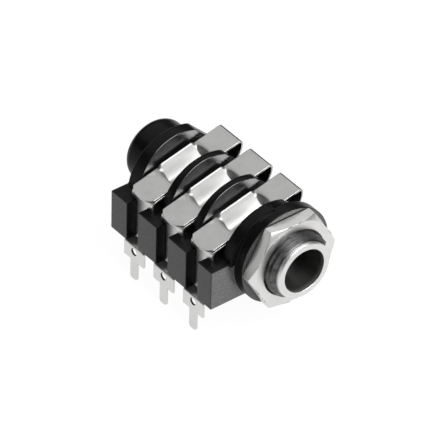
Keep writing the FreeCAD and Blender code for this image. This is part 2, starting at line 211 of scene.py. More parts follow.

# Tones of the moulding, of its speckles and of the painted sheen with dust on some faces, how
# strongly each face is made lighter (painted sheen on the side, the front and the flange, and the
# bore lighter too), how much clear coat they have, and how dark the painted shade in the mouth
# and on the holes' walls is
SKIN_TONE = 0.003
SHEEN_AND_DUST_TONE = 0.02
SPECK_TONE = 0.16
SIDE_PAINTED_SHEEN = 0.35
BORE_LIGHTENING = 0.8
FLANGE_PAINTED_SHEEN = 0.6
SIDE_COAT = 0.25
FRONT_COAT = 0.6
FLANGE_COAT = 0.5
MOUTH_PAINTED_SHADE = 0.62
HOLE_PAINTED_SHADE = 0.9

# Camera of the photograph: direction, scale in pixels per millimetre and where the
# middle of the ring contact's row lies in the picture
CAMERA_AZIMUTH = math.radians(-38.78)
CAMERA_ELEVATION = math.radians(38.78)
CAMERA_ROLL = math.radians(1.42)
CAMERA_DISTANCE = 800 * MM
CAMERA_CLIP = (0.01, 20.0)
PIXELS_PER_MM = 7.625
PICTURE_SIZE = 444
ROW_MIDDLE = (0.0, (FIRST_CONTACT + PITCH) * MM, 0.0)
ROW_MIDDLE_PIXEL = (227.73, 208.23)
SENSOR = 36.0

# Stage in metres. Each lamp has its direction from the part, its width and height, and
# the brightness that it shows in a mirror.
FLOOR_HALF = 1.5
FLOOR_GLOW = 1.04
FLOOR_SEEN = 0.93
FLOOR_MIRRORED = 0.9
WORLD_GREY = 0.03
LAMP_DISTANCE = 0.5
LAMPS = (
    ("front_softbox", (0.12, -0.60, 0.79), (0.40, 0.36), 7.0),
    ("top_softbox", (0.12, -0.02, 0.99), (0.34, 0.30), 1.6),
    ("rear_softbox", (0.18, 0.61, 0.75), (0.80, 0.28), 0.95),
    ("left_softbox", (-0.80, 0.58, 0.12), (0.30, 0.12), 0.8),
)


class Socket:
    """A node's output that can be used in Python arithmetic."""

    def __init__(self, nodes, link):
        self.nodes = nodes
        self.link = link

    def beside(self, name):
        """Another output of the same node."""
        return Socket(self.nodes, self.link.node.outputs[name])

    def worked(self, operation, *values):
        """Math node on sockets and numbers."""
        return self.nodes.node("ShaderNodeMath", {"operation": operation}, values)

    def __add__(self, other):
        return self.worked("ADD", self, other)

    __radd__ = __add__

    def __mul__(self, other):
        return self.worked("MULTIPLY", self, other)

    __rmul__ = __mul__

    def __sub__(self, other):
        return self.worked("SUBTRACT", self, other)

    def __rsub__(self, other):
        return self.worked("SUBTRACT", other, self)

    def __pow__(self, other):
        return self.worked("POWER", self, other)

    def __abs__(self):
        return self.worked("ABSOLUTE", self)

    def fraction(self):
        """The part after the decimal point."""
        return self.worked("FRACT", self)

    def above(self, level):
        """1 where this is over a level, otherwise 0."""
        return self.worked("GREATER_THAN", self, level)

    def below(self, level):
        """1 where this is under a level, otherwise 0."""
        return self.worked("LESS_THAN", self, level)

    def near(self, level, reach):
        """1 where this is within reach of a level, otherwise 0."""
        return self.worked("COMPARE", self, level, reach)


class Nodes:
    """A node tree, with one method for every node."""

    def __init__(self, tree):
        self.tree = tree

    def fill(self, socket, value):
        """Links an input to a socket, or to each of a list, or gives it a plain value."""
        for one in value if isinstance(value, list) else [value]:
            if isinstance(one, Socket):
                self.tree.links.new(one.link, socket)
            else:
                socket.default_value = one

    def node(self, kind, settings=None, inputs=(), **named):
        """Adds a node with its settings and its inputs, by order or by name."""
        node = self.tree.nodes.new(kind)
        for name, setting in (settings or {}).items():
            if name == "stops":
                for element, (place, colour) in zip(node.color_ramp.elements, setting):
                    element.position = place
                    element.color = colour
            else:
                setattr(node, name, setting)
        for number, value in enumerate(inputs):
            self.fill(node.inputs[number], value)
        for name, value in named.items():
            self.fill(node.inputs[name.replace("_", " ")], value)
        return Socket(self, node.outputs[0]) if len(node.outputs) else None


class Surface(Nodes):
    """The node tree of a new material."""

    def __init__(self, name):
        self.material = bpy.data.materials.new(name)
        self.material.use_nodes = True
        super().__init__(self.material.node_tree)
        self.tree.nodes.clear()

    def place(self, scale=(1.0, 1.0, 1.0)):
        """Object coordinates, stretched by scale."""
        coordinates = self.node("ShaderNodeTexCoord").beside("Object")
        return self.node("ShaderNodeMapping", Vector=coordinates, Scale=scale)

    def parts(self, place):
        """The x, y and z of a place."""
        split = self.node("ShaderNodeSeparateXYZ", Vector=place)
        return [split.beside(axis) for axis in "XYZ"]

    def noise(self, place, scale, detail=3.0):
        """Cloudy value from 0 to 1."""
        return self.node("ShaderNodeTexNoise", Vector=place, Scale=scale, Detail=detail)

    def bump(self, height, strength, distance):
        """Normal of a surface with a little relief."""
        return self.node("ShaderNodeBump", Strength=strength, Distance=distance, Height=height)

    def ramp(self, factor, *stops):
        """Colour between two stops of (place, colour)."""
        return self.node("ShaderNodeValToRGB", {"stops": stops}, Fac=factor)

    def finish(self, shader):
        """The material, with a shader for its surface."""
        self.node("ShaderNodeOutputMaterial", Surface=shader)
        return self.material


def station(pole):
    """Distance of a contact's middle from the panel plane."""
    return FIRST_CONTACT + POLES.index(pole) * PITCH


def drafted_walls():
    """Front and rear of the rear wall and of the two fins, whose front faces lean."""
    walls = [(WALL_REAR - WALL_THICKNESS, WALL_REAR)]
    for pole in POLES[:-1]:
        middle = station(pole) + FIN_BEHIND
        walls.append((middle - FIN_THICKNESS / 2, middle + FIN_THICKNESS / 2))
    return walls


def add_object(name, data):
    """New object of the scene, with a mesh, a lamp or a camera."""
    piece = bpy.data.objects.new(name, data)
    bpy.context.scene.collection.objects.link(piece)
    return piece


def applied(piece):
    """Turns the modifiers of a piece into plain mesh."""
    graph = bpy.context.evaluated_depsgraph_get()
    mesh = bpy.data.meshes.new_from_object(piece.evaluated_get(graph))
    old = piece.data
    piece.modifiers.clear()
    piece.data = mesh
    bpy.data.meshes.remove(old)
    mesh.name = piece.name


def combine(piece, tool, operation):
    """Joins, cuts or intersects a piece with a tool, which is used up."""
    modifier = piece.modifiers.new("combine", "BOOLEAN")
    modifier.operation = operation
    modifier.solver = "EXACT"
    modifier.object = tool
    applied(piece)
    mesh = tool.data
    bpy.data.objects.remove(tool)
    bpy.data.meshes.remove(mesh)


def finished(bm, name):
    """Object with the mesh that was built, its faces looking outwards."""
    bmesh.ops.recalc_face_normals(bm, faces=bm.faces)
    mesh = bpy.data.meshes.new(name)
    bm.to_mesh(mesh)
    bm.free()
    return add_object(name, mesh)


def between(name, *outlines):
    """Solid between two flat outlines of (x, y, z) points that face each other."""
    bm = bmesh.new()
    one, two = [[bm.verts.new(Vector(point) * MM) for point in outline] for outline in outlines]
    bm.faces.new(one)
    bm.faces.new(two[::-1])
    for number in range(len(one)):
        after = (number + 1) % len(one)
        bm.faces.new((one[after], one[number], two[number], two[after]))
    return finished(bm, name)


def prism(name, outline, start, end):
    """Solid with an outline of (x, z) points from y = start to y = end."""
    return between(name, *[[(x, y, z) for x, z in outline] for y in (start, end)])


def turned(name, profile, sides=ROUND):
    """Solid of revolution about the plug axis from (y, radius) points."""
    bm = bmesh.new()
    rings = []
    for y, radius in profile:
        if radius < SAME_PLACE:
            rings.append([bm.verts.new(Vector((0, y, 0)) * MM)])
            continue
        ring = []
        for number in range(sides):
            angle = 2 * math.pi * number / sides
            place = Vector((radius * math.cos(angle), y, radius * math.sin(angle)))
            ring.append(bm.verts.new(place * MM))
        rings.append(ring)
    for one, two in zip(rings, rings[1:] + rings[:1]):
        for number in range(sides):
            after = (number + 1) % sides
            corners = (one[number % len(one)], one[after % len(one)],
                       two[after % len(two)], two[number % len(two)])
            distinct = list(dict.fromkeys(corners))
            if len(distinct) > 2:
                bm.faces.new(distinct)
    return finished(bm, name)


def arc(centre, radius, start, end, steps):
    """Points on an arc, angles in degrees."""
    points = []
    for step in range(steps + 1):
        angle = math.radians(start + (end - start) * step / steps)
        points.append((centre[0] + radius * math.cos(angle),
                       centre[1] + radius * math.sin(angle)))
    return points


def shade(piece, smooth):
    """Shades every face smooth or flat."""
    piece.data.polygons.foreach_set("use_smooth", [smooth] * len(piece.data.polygons))


def thicken(piece):
    """Gives a sheet the strip's thickness, half on each side."""
    wall = piece.modifiers.new("wall", "SOLIDIFY")
    wall.thickness = STRIP * MM
    wall.offset = 0.0
    wall.use_even_offset = True
    applied(piece)


def soften(piece, width, angle, segments=2):
    """Rounds edges that bend by more than an angle in degrees, and shades it all smooth."""
    bevel = piece.modifiers.new("soften", "BEVEL")
    bevel.width = width * MM
    bevel.segments = segments
    bevel.limit_method = "ANGLE"
    bevel.angle_limit = math.radians(angle)
    bevel.use_clamp_overlap = False
    bevel.harden_normals = False
    bevel.miter_outer = "MITER_ARC"
    applied(piece)
    shade(piece, True)
    weighted = piece.modifiers.new("weighted", "WEIGHTED_NORMAL")
    weighted.weight = 90
    weighted.keep_sharp = True
    applied(piece)


def join_body(piece, body, node, material):
    """Puts a finished piece in the place of its CAD node."""
    piece.data.materials.clear()
    piece.data.materials.append(material)
    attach(piece, body)
    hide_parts(node)


def fin_outline():
    """Round at the top left, slanted at the right, sunk into the deck."""
    low = DECK - STRIP
    distance = (FIN_CUT - FIN_CENTRE[0] - FIN_CENTRE[1]) * DIAGONAL
    half_chord = math.degrees(math.acos(distance / FIN_RADIUS))
    left = 180 - math.degrees(math.asin((low - FIN_CENTRE[1]) / FIN_RADIUS))
    return (arc(FIN_CENTRE, FIN_RADIUS, SLANT + half_chord, left, FIN_STEPS)
            + [(FIN_CUT - DECK, low), (FIN_CUT - DECK, DECK)])


def make_housing(material):
    """Body with its ribs, fins, walls, flange and boss, hollow along the plug axis."""
    corners = [(-BODY_LEFT, -BODY_BOTTOM), (BODY_RIGHT, -BODY_BOTTOM),
               (BODY_RIGHT, DECK), (-BODY_LEFT, DECK)]
    housing = prism("moulded_housing", corners, BODY_FRONT, WALL_REAR)
    outline = fin_outline()
    front_wall = prism("front_wall", outline, BODY_FRONT - WALL_SUNK, FRONT_WALL_REAR)
    combine(housing, front_wall, "UNION")
    for start, end in drafted_walls():
        wall = prism("wall", outline, start, end)
        for vert in wall.data.vertices:
            if vert.co.y < (start + end) / 2 * MM:
                vert.co.y -= FIN_DRAFT * (FIN_RADIUS * MM - vert.co.z)
        combine(housing, wall, "UNION")
    flange = [(0.0, 0.0), (0.0, FLANGE_RADIUS),
              (FLANGE_LENGTH, FLANGE_RADIUS), (FLANGE_LENGTH, 0.0)]
    combine(housing, turned("flange", flange, LARGE_ROUND), "UNION")
    start = WALL_REAR - BOSS_SUNK
    end = WALL_REAR + BOSS_LENGTH
    dome = arc((end - BOSS_ROUND, BOSS_RADIUS - BOSS_ROUND), BOSS_ROUND, 90, 0, DOME_STEPS)
    boss = [(start, 0.0), (start, BOSS_RADIUS)] + dome + [(end, 0.0)]
    combine(housing, turned("boss", boss, SMALL_ROUND), "UNION")
    for pole in POLES:
        for side, face, depth in (LEFT, RIGHT):
            inner = side * (face - depth)
            outer = side * (face + depth)
            low = -BODY_BOTTOM - CUT_PAST
            high = DECK + CUT_PAST
            slot = prism("slot", [(inner, low), (outer, low), (outer, high), (inner, high)],
                         station(pole) - RIB_GAP / 2, station(pole) + RIB_GAP / 2)
            combine(housing, slot, "DIFFERENCE")
    seat = FERRULE_SEAT_DEPTH - NOSE_LENGTH
    for end, radius, point in ((BORE_END, BORE, BORE_POINT), (seat, FERRULE_SEAT, 0.0)):
        drill = [(-CUT_PAST, 0.0), (-CUT_PAST, radius), (end, radius), (end + point, 0.0)]
        combine(housing, turned("drill", drill, SMALL_ROUND), "DIFFERENCE")
    soften(housing, HOUSING_EDGE, angle=35)
    join_body(housing, JACK, "housing", material)


def thread_group(sizes, material):
    """Geometry Nodes group that winds a ridge in a helix about the nose."""
    tree = bpy.data.node_groups.new("nose_thread", "GeometryNodeTree")
    for name, way, kind in ([("Geometry", "INPUT", "NodeSocketGeometry")]
                            + [(size, "INPUT", "NodeSocketFloat") for size in sizes]
                            + [("Geometry", "OUTPUT", "NodeSocketGeometry")]):
        tree.interface.new_socket(name, in_out=way, socket_type=kind)
    nodes = Nodes(tree)
    start = nodes.node("NodeGroupInput")
    radius = start.beside("Radius")
    spiral = nodes.node("GeometryNodeCurveSpiral", Resolution=THREAD_STEPS,
                        Rotations=start.beside("Turns"), Start_Radius=radius,
                        End_Radius=radius, Height=start.beside("Length"))
    upright = nodes.node("GeometryNodeSetCurveNormal", {"mode": "Z_UP"}, Curve=spiral)
    half = start.beside("Pitch") * RIDGE_FOOT
    foot, crest = start.beside("Depth") * 0.0, start.beside("Depth") * -1.0
    corners = [nodes.node("ShaderNodeCombineXYZ", X=out, Y=half * rise) for out, rise in
               ((foot, -1.0), (crest, -RIDGE_CREST), (crest, RIDGE_CREST), (foot, 1.0))]
    ridge = nodes.node("GeometryNodeCurvePrimitiveQuadrilateral", {"mode": "POINTS"},
                       Point_1=corners[0], Point_2=corners[1], Point_3=corners[2],
                       Point_4=corners[3])
    swept = nodes.node("GeometryNodeCurveToMesh", Curve=upright, Profile_Curve=ridge,
                       Fill_Caps=True)
    lying = nodes.node("GeometryNodeTransform", Geometry=swept,
                       Rotation=(math.pi / 2, 0.0, 0.0))
    joined = nodes.node("GeometryNodeJoinGeometry",
                        Geometry=[lying, start.beside("Geometry")])
    real = nodes.node("GeometryNodeRealizeInstances", Geometry=joined)
    dressed = nodes.node("GeometryNodeSetMaterial", Geometry=real, Material=material)
    nodes.node("NodeGroupOutput", Geometry=dressed)
    return tree


def make_nose(material):
    """Threaded nose: a turned core with the helical ridge in front of the flange."""
    core = THREAD_RADIUS - THREAD_DEPTH
    face = -NOSE_LENGTH
    run, step = THREAD_CHAMFER
    profile = [(NOSE_SUNK, FERRULE_SEAT), (NOSE_SUNK, core), (face + run, core),
               (face, core - step), (face, FERRULE_SEAT)]
    nose = turned("threaded_nose", profile)
    threaded = NOSE_LENGTH - run
    sizes = {"Radius": (core - THREAD_SUNK) * MM, "Depth": (THREAD_DEPTH + THREAD_SUNK) * MM,
             "Turns": threaded / THREAD_PITCH, "Length": threaded * MM,
             "Pitch": THREAD_PITCH * MM}
    modifier = nose.modifiers.new("thread", "NODES")
    modifier.node_group = thread_group(sizes, material)
    for item in modifier.node_group.interface.items_tree:
        if item.name in sizes:
            modifier[item.identifier] = sizes[item.name]
    applied(nose)
    shade(nose, False)
    join_body(nose, JACK, "housing", material)


def make_ferrule(material):
    """Metal mouth with a rounded lip."""
    face = -NOSE_LENGTH
    front = face - FERRULE_LIP
    back = face + FERRULE_SEAT_DEPTH
    outer = arc((front + LIP_ROUND, FERRULE_RADIUS - LIP_ROUND), LIP_ROUND, 90, 180,
                LIP_STEPS)
    inner = arc((front + MOUTH_ROUND, BORE + MOUTH_ROUND), MOUTH_ROUND, 180, 270,
                MOUTH_STEPS)
    profile = [(back, BORE), (back, FERRULE_SEAT), (face, FERRULE_SEAT),
               (face, FERRULE_RADIUS - LIP_CHAMFER), (face - LIP_CHAMFER, FERRULE_RADIUS)]
    ferrule = turned("mouth_ferrule", profile + outer + inner)
    soften(ferrule, FERRULE_EDGE, angle=40, segments=1)
    join_body(ferrule, JACK, "nose_ferrule", material)


def make_nut(material):
    """Hexagon nut: its corners are turned off in front and its hole is countersunk."""
    back = -NUT_GAP
    front = back - NUT_LENGTH
    corner = NUT_FLATS / math.sqrt(3)
    nut = prism("hexagon_nut", arc((0.0, 0.0), corner, 0, 300, 5), front, back)
    run = NUT_BEVEL * math.tan(math.radians(NUT_BEVEL_ANGLE))
    tool_back = back + NUT_TOOL_BACK
    tool_front = front - NUT_TOOL_FRONT
    cone = [(tool_back, 0.0), (tool_back, corner + NUT_TOOL_FLARE),
            (front + NUT_BEVEL, corner), (front, corner - run),
            (tool_front, corner - run - 2 * NUT_TOOL_FRONT), (tool_front, 0.0)]
    combine(nut, turned("bevel_cone", cone, LARGE_ROUND), "INTERSECT")
    hole = THREAD_RADIUS + NUT_PLAY
    tool_front = front - DRILL_FRONT
    drill = [(tool_back, 0.0), (tool_back, hole + NUT_BACK_CONE), (back - NUT_BACK_CONE, hole),
             (front + NUT_SINK, hole), (tool_front, hole + NUT_SINK + DRILL_FRONT),
             (tool_front, 0.0)]
    combine(nut, turned("drill", drill), "DIFFERENCE")
    soften(nut, NUT_EDGE, angle=18)
    join_body(nut, "panel_nut", "panel_nut", material)


def add_line(path, end, step):
    """Goes on along a path in a straight line, in steps of about the given length."""
    start = path[-1]
    count = max(1, int((end - start).length / step))
    path += [start.lerp(end, number / count) for number in range(1, count + 1)]


def rounded_path(points, radii, step):
    """Middle line of a strip as (x, z) points: straight runs and arcs at the inner points."""
    path = [Vector(points[0])]
    for before, here, after, radius in zip(points, points[1:], points[2:], radii):
        corner = Vector(here)
        into = (corner - Vector(before)).normalized()
        out = (Vector(after) - corner).normalized()
        angle = into.angle_signed(out)
        reach = radius * math.tan(abs(angle) / 2)
        begin = corner - into * reach
        add_line(path, begin, step)
        hand = -1 if angle > 0 else 1
        centre = begin + Vector((-into.y, into.x)) * radius * hand
        count = max(BEND_LEAST_STEPS, int(abs(math.degrees(angle)) / BEND_DEGREES))
        for number in range(1, count + 1):
            turn = Matrix.Rotation(-angle * number / count, 2)
            path.append(centre + turn @ (begin - centre))
    add_line(path, Vector(points[-1]), step)
    return path


def leg_points():
    """Corner of a spring's hidden leg and the place where the leg splits from its foot."""
    half = math.tan(math.radians(SLANT / 2))
    corner = (FOLD[0], FOLD[1] - LEG_DROP - LEG_RADIUS * half)
    reach = (LEG_RADIUS * half + LEG_STRAIGHT) * DIAGONAL
    return corner, (corner[0] - reach, corner[1] - reach)


def spring_path():
    """Middle line of a spring, with close points along its round end."""
    corner, split = leg_points()
    path = rounded_path([SPRING_END, FOLD, corner, split], [FOLD_RADIUS, LEG_RADIUS],
                        SPRING_STEP)
    end = Vector(SPRING_END)
    way = Vector((math.cos(SPRING_SLOPE), math.sin(SPRING_SLOPE)))
    return ([end + way * reach for reach in END_ROWS]
            + [point for point in path if (point - end).length > END_LENGTH])


def smooth_step(value):
    """0 below 0, 1 above 1 and a soft rise between them."""
    value = min(1.0, max(0.0, value))
    return value * value * (3 - 2 * value)


def pressed_share(x, across):
    """How much of the trough's depth is pressed, with ends that bulge in the middle."""
    bulge = TROUGH_BULGE * across ** 2
    left = (x - TROUGH_LEFT - bulge + TROUGH_BULGE) / TROUGH_RAMPS[0]
    right = (TROUGH_RIGHT - bulge + TROUGH_BULGE - x) / TROUGH_RAMPS[1]
    return smooth_step(left) * smooth_step(right)


def trough_wall(across):
    """Section of the trough, from 0 in the middle to 1 at a rim, along a hyperbola."""
    return ((math.hypot(across, TROUGH_BLUNT) - TROUGH_BLUNT)
            / (math.hypot(1.0, TROUGH_BLUNT) - TROUGH_BLUNT))


def make_spring(pole, material):
    """Bent strip with a round free end and a pressed trough across the plug."""
    path = spring_path()
    half = SPRING_WIDTH / 2
    bm = bmesh.new()
    rows = []
    walked = 0.0
    for number, point in enumerate(path):
        before = path[max(0, number - 1)]
        after = path[min(len(path) - 1, number + 1)]
        walked += (point - before).length
        way = (after - before).normalized()
        normal = Vector((-way.y, way.x))
        width = half
        if walked < END_RADIUS:
            chord = END_RADIUS ** 2 - (END_RADIUS - walked) ** 2
            width = min(half, math.sqrt(max(0.0, chord)))
        row = []
        for column in range(SPRING_COLUMNS + 1):
            across = 2 * column / SPRING_COLUMNS - 1
            hollow = pressed_share(point.x, across)
            depth = (half - STRIP / 2) * (1 - trough_wall(across))
            rise = hollow * (TROUGH_RIM - depth)
            spot = point + normal * rise
            aside = across * (width - TROUGH_NARROWING * hollow)
            row.append(bm.verts.new(Vector((spot.x, station(pole) + aside, spot.y)) * MM))
        rows.append(row)
    for one, two in zip(rows, rows[1:]):
        for left in range(SPRING_COLUMNS):
            bm.faces.new((one[left], one[left + 1], two[left + 1], two[left]))
    bmesh.ops.remove_doubles(bm, verts=bm.verts, dist=SAME_POINT * MM)
    spring = finished(bm, pole + "_bent_spring")
    thicken(spring)
    soften(spring, SPRING_EDGE, angle=50)
    join_body(spring, pole + "_spring", pole + "_spring", material)


def stamped_strip(name, path, middle, widths):
    """Sheet of changing width along a bent path. widths are (end of run, half width)."""
    lengths = [0.0]
    for one, two in zip(path, path[1:]):
        lengths.append(lengths[-1] + (two - one).length)

    def at(reach):
        """Point of the path at a length along it."""
        for number, total in enumerate(lengths[1:]):
            if reach <= total + SAME_PLACE:
                share = (reach - lengths[number]) / (total - lengths[number])
                return path[number].lerp(path[number + 1], share)
        return path[-1]

    runs = [run for run, half in widths[:-1]]
    stops = sorted({round(reach, STOP_DIGITS) for reach in lengths + runs})
    stops = stops[:1] + [stop for before, stop in zip(stops, stops[1:])
                         if stop - before > SAME_STOP]
    sides = sorted({half for run, half in widths})
    across = [-side for side in sides[::-1]] + sides
    bm = bmesh.new()
    grid = [[bm.verts.new(Vector((at(stop).x, middle + aside, at(stop).y)) * MM)
             for aside in across] for stop in stops]
    for row, (one, two) in enumerate(zip(grid, grid[1:])):
        centre = (stops[row] + stops[row + 1]) / 2
        allowed = next(half for run, half in widths if centre < run)
        for column in range(len(across) - 1):
            if abs((across[column] + across[column + 1]) / 2) < allowed:
                bm.faces.new((one[column], one[column + 1], two[column + 1], two[column]))
    loose = [vert for vert in bm.verts if not vert.link_faces]
    bmesh.ops.delete(bm, geom=loose, context="VERTS")
    return finished(bm, name)


def round_corners(piece, middle, width, level, radius):
    """Rounds the two corners that a sheet has at a level, half a width off its middle."""
    bm = bmesh.new()
    bm.from_mesh(piece.data)
    chosen = [vert for vert in bm.verts
              if abs(abs(vert.co.y / MM - middle) - width / 2) < SAME_POINT
              and abs(vert.co.z / MM - level) < SAME_LEVEL]
    bmesh.ops.bevel(bm, geom=chosen, offset=radius * MM, affect="VERTICES",
                    segments=CORNER_STEPS, profile=0.5, clamp_overlap=True)
    bm.to_mesh(piece.data)
    bm.free()


def reach_up_to(path, level):
    """Length walked along a rising path up to a height."""
    walked = 0.0
    for one, two in zip(path, path[1:]):
        if two.y >= level:
            return walked + (two - one).length * (level - one.y) / (two.y - one.y)
        walked += (two - one).length
    return walked


def tail_points(hand, face, depth):
    """Corners of a contact's tail from the pin's tip up to the neck in its slot."""
    tail_x = hand * (face - TAIL_INSET)
    neck_x = hand * (face - depth + STRIP / 2)
    bottom = -BODY_BOTTOM - NECK_PLAY
    return [(tail_x, -PIN_BOTTOM), (tail_x, bottom - JOGGLE), (neck_x, bottom)]


def stamped_contact(pole, name, side, path, plate_tip=None):
    """Contact on a side of the body, with its pin, tag and neck, and a hole in the tag.

    Where the height of a plate's tip is given, the plate has round corners.
    """
    middle = station(pole)
    widths = [(reach_up_to(path, -TAIL_BOTTOM), PIN_WIDTH / 2),
              (reach_up_to(path, -BODY_BOTTOM - NECK_PLAY), TAIL_WIDTH / 2),
              (reach_up_to(path, DECK), RIB_GAP / 2 - NECK_PLAY),
              (math.inf, SPRING_WIDTH / 2)]
    strip = stamped_strip(name, path, middle, widths)
    if plate_tip is not None:
        round_corners(strip, middle, SPRING_WIDTH, DECK, PLATE_FOOT_ROUND)
        round_corners(strip, middle, SPRING_WIDTH, plate_tip, PLATE_TIP_ROUND)
    round_corners(strip, middle, PIN_WIDTH, -PIN_BOTTOM, PIN_ROUND)
    round_corners(strip, middle, TAIL_WIDTH, -TAIL_BOTTOM, TAG_ROUND)
    thicken(strip)
    hand, face = side[:2]
    tag_x = hand * (face - TAIL_INSET)
    angles = [2 * math.pi * turn / HOLE_ROUND for turn in range(HOLE_ROUND)]
    punch = between("punch", *[[(x, middle + HOLE_RADIUS * math.cos(angle),
                                 -HOLE_DROP + HOLE_RADIUS * math.sin(angle))
                                for angle in angles]
                               for x in (tag_x - CUT_PAST, tag_x + CUT_PAST)])
    combine(strip, punch, "DIFFERENCE")
    soften(strip, STAMPED_EDGE, angle=50)
    return strip


def make_break_contact(pole, material):
    """Switch contact: plate under the spring, neck in its slot, tag and pin."""
    way = Vector((math.cos(SPRING_SLOPE), math.sin(SPRING_SLOPE)))
    below = Vector(SPRING_END) + Vector((way.y, -way.x)) * (STRIP + BREAK_GAP)
    points = tail_points(*LEFT)
    neck_x = points[-1][0]
    corner = (neck_x, below.y + (neck_x - below.x) * math.tan(SPRING_SLOPE))
    tip = (corner[0] + BREAK_REACH * math.cos(SPRING_SLOPE),
           corner[1] + BREAK_REACH * math.sin(SPRING_SLOPE))
    path = rounded_path(points + [corner, tip], [BEND, BEND, BREAK_BEND], STAMPED_STEP)
    strip = stamped_contact(pole, pole + "_switch_contact", LEFT, path, tip[1])
    join_body(strip, JACK, pole + "_break_contact", material)


def make_terminal(pole, material):
    """Foot of the spring: curled on the deck, through its slot down to tag and pin."""
    split = leg_points()[1]
    start = Vector(split) - Vector((1, 1)) * DIAGONAL * LEG_SPLIT
    points = tail_points(*RIGHT)
    deck = DECK + DECK_GAP + STRIP / 2
    curl = (start.y - deck) / (1 + DIAGONAL)
    turn = start.x - curl * math.tan(math.radians(90 - SLANT / 2)) * DIAGONAL
    path = rounded_path(points + [(points[-1][0], deck), (turn, deck), tuple(start)],
                        [BEND, BEND, BEND, curl], STAMPED_STEP)
    strip = stamped_contact(pole, pole + "_foot", RIGHT, path)
    join_body(strip, JACK, pole + "_terminal", material)


def black_nylon():
    """Black moulding: dark skin, polished fin faces, and painted sheen in speckles on the left
    side, the front and the flange, with the bore made lighter in speckles too.
    """
    surface = Surface("black_nylon")
    place = surface.place()
    grain = surface.noise(place, scale=3200.0)
    waves = surface.noise(place, scale=260.0, detail=2.0)
    dull = surface.noise(place, scale=420.0)
    speck = surface.noise(place, scale=5200.0, detail=2.0)
    x, y, z = surface.parts(place)
    leaning = y + FIN_DRAFT * (FIN_RADIUS * MM - z)
    faces = [leaning.near(start * MM, FACE_SKIN * MM) for start, end in drafted_walls()]
    polished = sum(faces[1:], faces[0]) * z.above((DECK + FACE_SKIN) * MM)
    side = x.near(-BODY_LEFT * MM, FACE_SKIN * MM)
    front = y.near(BODY_FRONT * MM, THIN_SKIN * MM) * z.below((DECK - 2 * FACE_SKIN) * MM)
    flange = y.near(0.0, THIN_SKIN * MM)
    off_axis = x * x + z * z
    bore = (off_axis.below(((BORE + BORE_SKIN) * MM) ** 2)
            * y.below((BORE_END + BORE_POINT + 2 * BORE_SKIN) * MM))
    dust_and_sheen = SPECK_TONE * speck * speck + SHEEN_AND_DUST_TONE
    # Painted sheen: the left side, the front and the flange's front face are made lighter in
    # speckles, as if lit; the bore is made lighter the same way.
    painted_sheen_and_bore_mask = SIDE_PAINTED_SHEEN * side + front + BORE_LIGHTENING * bore + FLANGE_PAINTED_SHEEN * flange
    tone = SKIN_TONE + SKIN_TONE * dull + painted_sheen_and_bore_mask * dust_and_sheen
    shade_of_black = surface.node("ShaderNodeCombineColor", Red=tone, Green=tone, Blue=tone)
    coat = polished + SIDE_COAT * side + FRONT_COAT * front + FLANGE_COAT * flange
    relief = surface.bump(0.5 * grain + waves, strength=0.08, distance=0.0002)
    shader = surface.node("ShaderNodeBsdfPrincipled", Base_Color=shade_of_black,
                          Roughness=0.20 + 0.16 * dull, IOR=1.5, Specular_IOR_Level=0.09,
                          Coat_Weight=coat, Coat_Roughness=0.26, Coat_IOR=2.1,
                          Normal=relief)
    return surface.finish(shader)


def worn_thread():
    """Dark grey rubbed thread of the nose."""
    surface = Surface("worn_thread")
    rubbed = surface.noise(surface.place((900.0, 200.0, 900.0)), scale=1.0, detail=4.0)
    grain = surface.noise(surface.place(), scale=2400.0)
    tone = surface.ramp(rubbed, (0.35, (0.05, 0.05, 0.052, 1.0)),
                        (0.70, (0.17, 0.17, 0.172, 1.0)))
    shader = surface.node("ShaderNodeBsdfPrincipled", Base_Color=tone, Metallic=0.8,
                          Roughness=0.32 + 0.12 * rubbed, IOR=1.5,
                          Normal=surface.bump(grain, strength=0.10, distance=0.0002))
    return surface.finish(shader)


def plated_strip():
    """Tin plate with soft clouds and rolling marks, and painted shade on the walls of the tag
    holes.
    """
    surface = Surface("tin_plate")
    place = surface.place()
    brushed = surface.noise(surface.place((900.0, 5200.0, 900.0)), scale=1.0, detail=4.0)
    cloud = surface.noise(place, scale=420.0)
    y, z = surface.parts(place)[1:]
    turns = (y - FIRST_CONTACT * MM) * (1 / (PITCH * MM)) + 0.5
    beside = (turns.fraction() - 0.5) * (PITCH * MM)
    above = z + HOLE_DROP * MM
    away = beside * beside + above * above
    # Painted shade: the walls of the tag holes are made dark.
    shaded_hole_wall = away.below(((HOLE_RADIUS + HOLE_SKIN) * MM) ** 2)
    tone = (0.62 + 0.14 * cloud) * (1.0 - HOLE_PAINTED_SHADE * shaded_hole_wall)
    tin = surface.node("ShaderNodeCombineColor", Red=tone, Green=tone, Blue=0.985 * tone)
    shader = surface.node("ShaderNodeBsdfPrincipled", Base_Color=tin, Metallic=1.0,
                          Roughness=0.36 + 0.10 * cloud,
                          Normal=surface.bump(brushed, strength=0.05, distance=0.0001))
    return surface.finish(shader)


def spring_metal():
    """Rolled spring strip: a soft mirror that is duller in the pressed trough."""
    surface = Surface("spring_metal")
    place = surface.place()
    brushed = surface.noise(surface.place((700.0, 4200.0, 700.0)), scale=1.0, detail=4.0)
    cloud = surface.noise(place, scale=420.0)
    off_middle = abs(surface.parts(place)[0] - (TROUGH_LEFT + TROUGH_RIGHT) / 2 * MM)
    pressed = surface.node("ShaderNodeMapRange", Value=off_middle,
                           From_Min=TROUGH_DULL[0] * MM, From_Max=TROUGH_DULL[1] * MM,
                           To_Min=1.0, To_Max=0.0)
    tone = surface.ramp(cloud, (0.3, (0.41, 0.41, 0.405, 1.0)), (0.7, (0.47, 0.47, 0.465, 1.0)))
    shader = surface.node("ShaderNodeBsdfPrincipled", Base_Color=tone, Metallic=1.0,
                          Roughness=0.15 + 0.08 * cloud + 0.28 * pressed,
                          Normal=surface.bump(brushed, strength=0.05, distance=0.0001))
    return surface.finish(shader)


